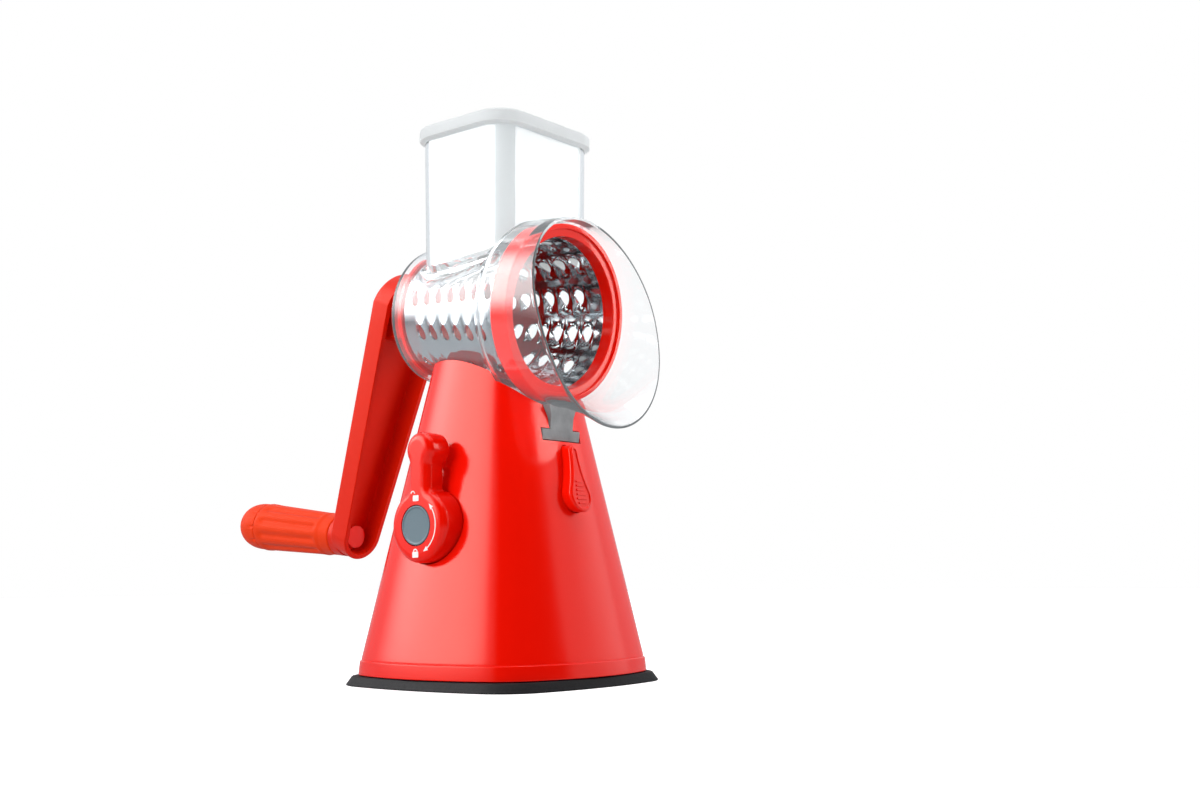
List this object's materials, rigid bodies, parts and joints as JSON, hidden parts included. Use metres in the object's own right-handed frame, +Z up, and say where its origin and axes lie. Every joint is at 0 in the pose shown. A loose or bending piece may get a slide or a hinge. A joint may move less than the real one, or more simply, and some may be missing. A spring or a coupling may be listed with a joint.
{
  "type": "rotary cheese grater",
  "caption": "Table-top rotary drum grater: suction foot with lever, clear drum housing with feed hopper and pusher, perforated steel drum and crank handle with turning grip.",
  "frame": {"origin": "middle of the sole's flat underside, on the table", "axes": "+Z up; -Y toward the drum's mouth, +Y toward the crank; -X is the side with the suction lever"},
  "size_m": [0.1284, 0.271, 0.275],
  "materials": {
    "red_plastic": "glossy moulded ABS, bright orange-red",
    "grip_plastic": "satin moulded plastic, orange-red",
    "sole_rubber": "dark slate-black rubber",
    "clear_plastic": "clear glossy acrylic",
    "milky_plastic": "translucent milky white plastic",
    "drum_steel": "mirror-polished stainless steel",
    "cap_grey": "blue-grey satin plastic",
    "nylon": "natural white nylon",
    "spring_steel": "plain drawn steel",
    "screw_zinc": "zinc-plated steel"
  },
  "bodies": {
    "stand": {"base_body": "red_plastic", "suction_pad": "sole_rubber", "base_plate": "red_plastic", "axle_bracket": "nylon", "latch_guide": "nylon", "base_screw_1": "screw_zinc", "base_screw_2": "screw_zinc", "base_screw_3": "screw_zinc", "base_screw_4": "screw_zinc", "bracket_screw_1": "screw_zinc", "bracket_screw_2": "screw_zinc", "guide_screw_1": "screw_zinc", "guide_screw_2": "screw_zinc", "latch_spring": "spring_steel", "lift_spring": "spring_steel", "housing": "clear_plastic"},
    "lever": {"lever_knob": "red_plastic", "lever_cap": "cap_grey", "lever_screw": "screw_zinc", "cam_shaft": "spring_steel"},
    "lifter": {"lift_stud": "nylon", "lift_yoke": "nylon"},
    "button": {"release_button": "red_plastic"},
    "bolt": {"latch_bolt": "nylon"},
    "pusher": {"pusher_body": "milky_plastic", "pusher_cap": "milky_plastic"},
    "crank": {"crank_arm": "red_plastic", "grip_spindle": "red_plastic", "grip_washer": "screw_zinc", "grip_screw": "screw_zinc"},
    "grip": {"grip_sleeve": "grip_plastic", "grip_cap": "grip_plastic"},
    "drum": {"drum_cone": "drum_steel", "drum_ring": "red_plastic", "drum_hub": "red_plastic"}
  },
  "joints": [
    {"name": "crank_spin", "type": "hinge", "parent": "stand", "child": "crank", "pos_m": [0, 0.0574, 0.18703], "axis": [0, 0.9949, 0.1011], "continuous": true},
    {"name": "grip_spin", "type": "hinge", "parent": "crank", "child": "grip", "pos_m": [0, 0.15274, 0.07767], "axis": [0, 0.9949, 0.1011], "continuous": true},
    {"name": "drum_pull", "type": "slide", "parent": "crank", "child": "drum", "axis": [0, -0.9949, -0.1011], "range_m": [0, 0.12]},
    {"name": "pusher_lift", "type": "slide", "parent": "stand", "child": "pusher", "axis": [0, 0, 1], "range_m": [0, 0.07]},
    {"name": "lever_turn", "type": "hinge", "parent": "stand", "child": "lever", "pos_m": [-0.05, 0, 0.0745], "axis": [1, 0, 0], "range_deg": [0, 90]},
    {"name": "stud_lift", "type": "slide", "parent": "stand", "child": "lifter", "axis": [0, 0, 1], "range_m": [0, 0.0041], "deforming": ["lift_spring"]},
    {"name": "button_press", "type": "slide", "parent": "stand", "child": "button", "axis": [0, 1, 0], "range_m": [0, 0.003], "stiffness_N_per_m": 400, "springref_m": -0.0015},
    {"name": "latch_drop", "type": "slide", "parent": "stand", "child": "bolt", "axis": [0, 0, -1], "range_m": [0, 0.0031], "deforming": ["latch_spring"]}
  ],
  "couplings": [
    {"joint": "stud_lift", "follows": "lever_turn", "m_per_rad": 0.002546},
    {"joint": "latch_drop", "follows": "button_press", "ratio": 1}
  ]
}
